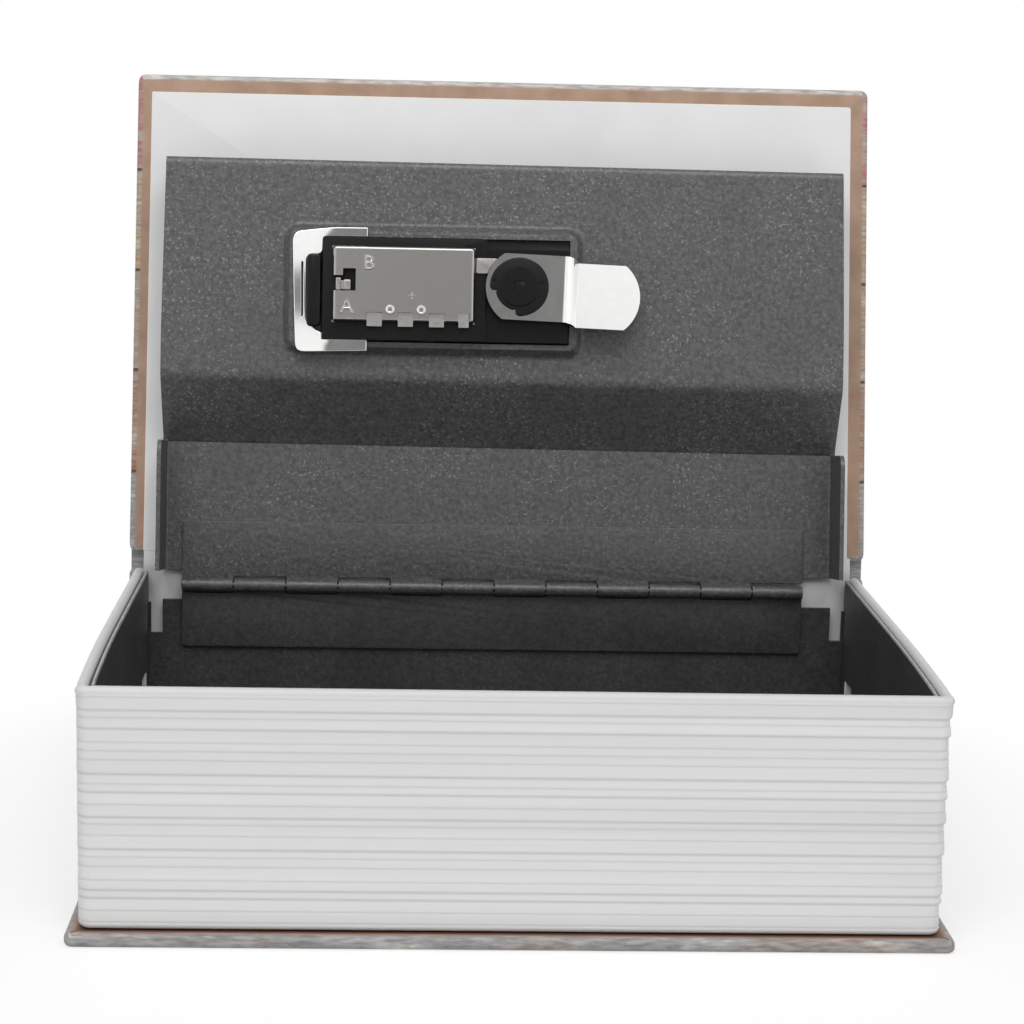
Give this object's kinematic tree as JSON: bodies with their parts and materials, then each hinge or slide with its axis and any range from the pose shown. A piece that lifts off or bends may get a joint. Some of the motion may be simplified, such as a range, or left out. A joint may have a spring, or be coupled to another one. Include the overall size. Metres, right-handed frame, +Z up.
{
  "type": "book diversion safe",
  "caption": "Hard-cover book that hides a steel box: moulded page shell, hinged steel lid with a dial combination cam lock, and a front cover that opens behind it.",
  "frame": {"origin": "middle of the back cover's underside, on which the book lies", "axes": "+X along the spine, to the right as seen from the page edge, +Y from the page edge to the spine, +Z up"},
  "size_m": [0.18, 0.1459, 0.1711],
  "materials": {
    "printed_paper": "matt laminated paper printed with weathered painted planks",
    "joint_cloth": "printed paper on book cloth",
    "greyboard": "raw bookbinder's board",
    "white_paper": "smooth white endpaper",
    "shell_plastic": "white moulded plastic with page lines",
    "powder_coat": "dark grey hammered powder coat on sheet steel",
    "pin_steel": "drawn steel wire",
    "black_plastic": "black moulded plastic",
    "dial_plastic": "black moulded plastic with white figures",
    "nickel_plate": "satin nickel plate on pressed steel",
    "polished_steel": "bright nickel on pressed steel",
    "brass": "turned brass"
  },
  "bodies": {
    "box": {"back_spine_wrap": "printed_paper", "back_board": "greyboard", "spine_board": "greyboard", "back_endpaper": "white_paper", "spine_lining": "white_paper", "page_shell": "shell_plastic", "steel_box": "powder_coat", "strike": "powder_coat", "box_leaf": "powder_coat", "hinge_pin": "pin_steel"},
    "lid": {"lid_leaf": "powder_coat", "lid_plate": "powder_coat", "lock_body": "black_plastic", "lock_case": "nickel_plate", "detent_spring": "polished_steel", "case_rivet_1": "polished_steel", "case_rivet_2": "polished_steel", "dial_axle": "pin_steel", "end_stop": "black_plastic", "spring_clip": "polished_steel", "slide_bar": "nickel_plate"},
    "front_joint": {"front_joint_cloth": "joint_cloth"},
    "front_cover": {"front_cover_wrap": "printed_paper", "front_board": "greyboard", "front_endpaper": "white_paper"},
    "cam": {"knob": "black_plastic", "cam_spacer": "black_plastic", "cam_plate": "polished_steel", "cam_boss": "black_plastic"},
    "first_dial": {"dial_1": "dial_plastic", "dial_sleeve_1": "brass"},
    "second_dial": {"dial_2": "dial_plastic", "dial_sleeve_2": "brass"},
    "third_dial": {"dial_3": "dial_plastic", "dial_sleeve_3": "brass"},
    "lever": {"change_lever": "polished_steel"}
  },
  "joints": [
    {"name": "lid_hinge", "type": "hinge", "parent": "box", "child": "lid", "pos_m": [0, 0.05315, 0.0499], "axis": [1, 0, 0], "range_deg": [0, 100.2]},
    {"name": "cover_joint", "type": "hinge", "parent": "box", "child": "front_joint", "pos_m": [0, 0.05865, 0.055], "axis": [1, 0, 0], "range_deg": [0, 102.61]},
    {"name": "cover_swing", "type": "hinge", "parent": "front_joint", "child": "front_cover", "pos_m": [0, 0.05865, 0.055], "axis": [-1, 0, 0], "range_deg": [0, 102.6]},
    {"name": "knob_turn", "type": "hinge", "parent": "lid", "child": "cam", "pos_m": [0.003, 0.0659, 0.12076], "axis": [0, -0.9842, 0.1771], "range_deg": [0, 90]},
    {"name": "dial_1_turn", "type": "hinge", "parent": "lid", "child": "first_dial", "pos_m": [-0.0314, 0.05647, 0.12226], "axis": [1, 0, 0], "continuous": true},
    {"name": "dial_2_turn", "type": "hinge", "parent": "lid", "child": "second_dial", "pos_m": [-0.024, 0.05647, 0.12226], "axis": [1, 0, 0], "continuous": true},
    {"name": "dial_3_turn", "type": "hinge", "parent": "lid", "child": "third_dial", "pos_m": [-0.0166, 0.05647, 0.12226], "axis": [1, 0, 0], "continuous": true},
    {"name": "code_change_slide", "type": "slide", "parent": "lid", "child": "lever", "axis": [0, 0.1771, 0.9842], "range_m": [0, 0.0026]}
  ],
  "couplings": [
    {"joint": "cover_joint", "follows": "lid_hinge", "ratio": 1.024}
  ]
}
